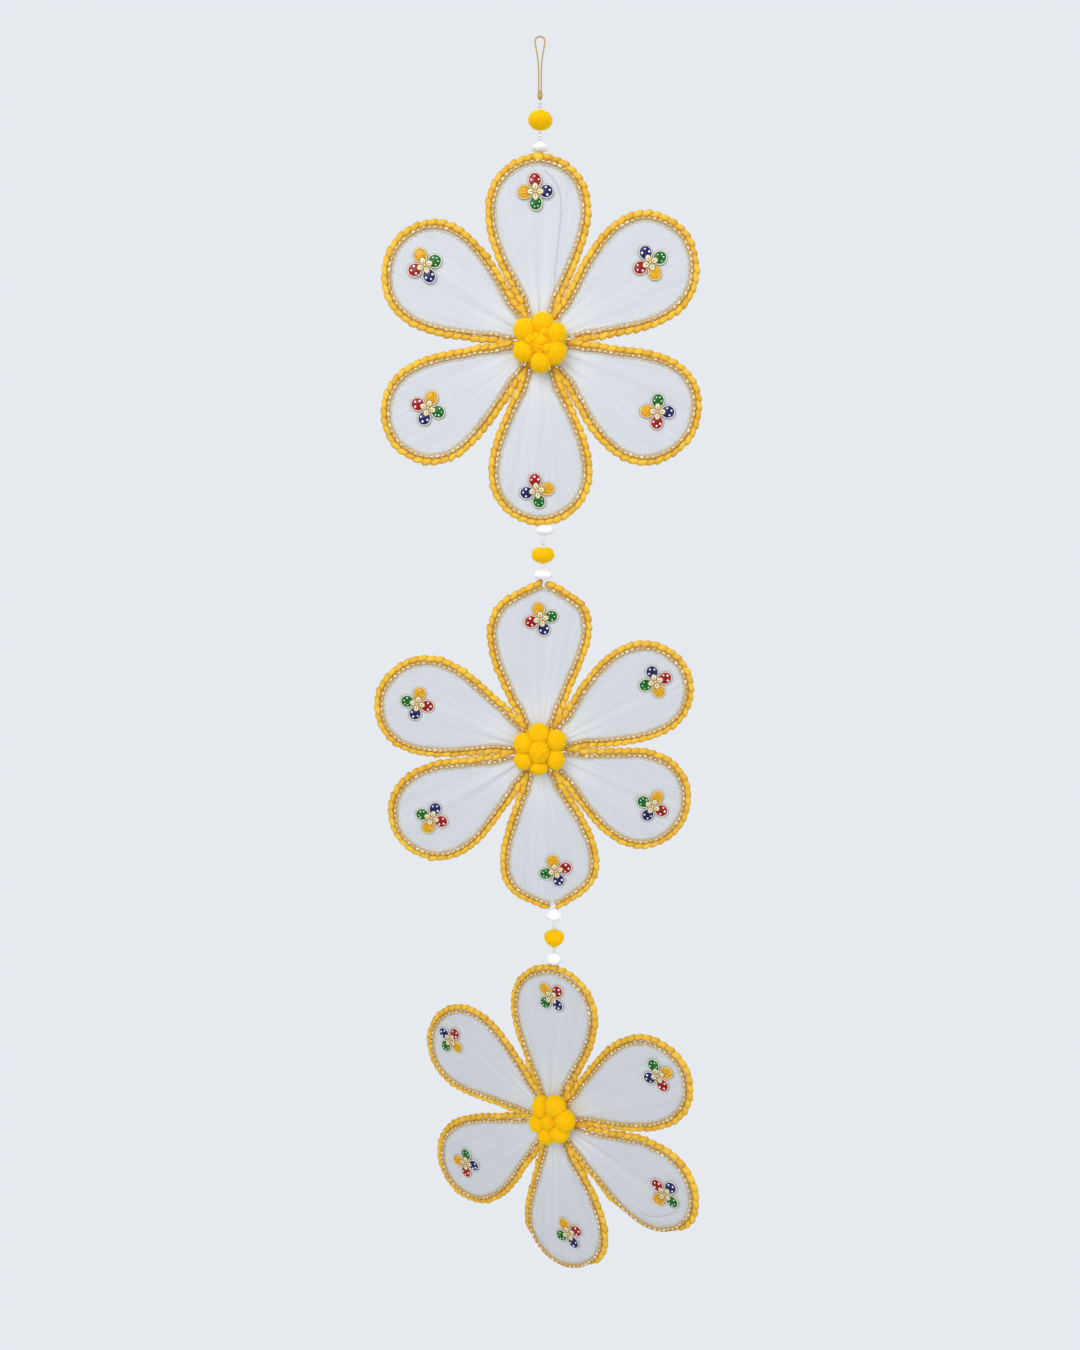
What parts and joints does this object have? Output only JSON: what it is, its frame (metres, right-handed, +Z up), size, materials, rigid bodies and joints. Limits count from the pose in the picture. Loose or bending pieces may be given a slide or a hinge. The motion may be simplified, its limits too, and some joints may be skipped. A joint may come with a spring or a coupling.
{
  "type": "triple flower hanging",
  "caption": "Wall hanging of net-petalled flowers edged with braid, with pompom middles and jewelled motifs, strung one below the other on beads and pompoms from a cord loop.",
  "frame": {"origin": "top of the hanging loop, where it rests on whatever holds it", "axes": "+Z up, +X to the viewer's right, the front faces -Y"},
  "size_m": [0.2828, 0.1459, 1.0827],
  "materials": {
    "white_net": "sheer white net with fine gathers",
    "yellow_braid": "lumpy warm yellow braid",
    "gold_braid": "glinting gold metal-thread braid with small loops",
    "yellow_pompom": "dense short yellow pile",
    "white_pompom": "dense short white pile",
    "beads": "small pearl and silver beads on thread",
    "jewel_motif": "gloss enamel lobes with cream-gold rims and glints",
    "gold_cord": "twisted gold metal-thread cord"
  },
  "bodies": {
    "root": {"hanging_loop": "gold_cord", "top_knot_and_beads": "beads", "top_yellow_pompom": "yellow_pompom", "top_lower_beads": "beads", "top_white_pompom": "white_pompom", "upper_link_white_pompom": "white_pompom", "upper_link_beads": "beads", "upper_link_yellow_pompom": "yellow_pompom", "upper_link_lower_beads": "beads", "upper_link_low_white_pompom": "white_pompom", "lower_link_white_pompom": "white_pompom", "lower_link_beads": "beads", "lower_link_yellow_pompom": "yellow_pompom", "lower_link_lower_beads": "beads", "lower_link_low_white_pompom": "white_pompom", "upper_net_top": "white_net", "upper_net_left_top": "white_net", "upper_net_left_bottom": "white_net", "upper_net_bottom": "white_net", "upper_net_right_bottom": "white_net", "upper_net_right_top": "white_net", "upper_motif_top": "jewel_motif", "upper_motif_left_top": "jewel_motif", "upper_motif_left_bottom": "jewel_motif", "upper_motif_bottom": "jewel_motif", "upper_motif_right_bottom": "jewel_motif", "upper_motif_right_top": "jewel_motif", "upper_yellow_braid": "yellow_braid", "upper_gold_braid": "gold_braid", "upper_pompom_group": "yellow_pompom", "middle_net_top": "white_net", "middle_net_left_top": "white_net", "middle_net_left_bottom": "white_net", "middle_net_bottom": "white_net", "middle_net_right_bottom": "white_net", "middle_net_right_top": "white_net", "middle_motif_top": "jewel_motif", "middle_motif_left_top": "jewel_motif", "middle_motif_left_bottom": "jewel_motif", "middle_motif_bottom": "jewel_motif", "middle_motif_right_bottom": "jewel_motif", "middle_motif_right_top": "jewel_motif", "middle_yellow_braid": "yellow_braid", "middle_gold_braid": "gold_braid", "middle_pompom_group": "yellow_pompom", "lower_net_top": "white_net", "lower_net_left_top": "white_net", "lower_net_left_bottom": "white_net", "lower_net_bottom": "white_net", "lower_net_right_bottom": "white_net", "lower_net_right_top": "white_net", "lower_motif_top": "jewel_motif", "lower_motif_left_top": "jewel_motif", "lower_motif_left_bottom": "jewel_motif", "lower_motif_bottom": "jewel_motif", "lower_motif_right_bottom": "jewel_motif", "lower_motif_right_top": "jewel_motif", "lower_yellow_braid": "yellow_braid", "lower_gold_braid": "gold_braid", "lower_pompom_group": "yellow_pompom"}
  },
  "joints": []
}
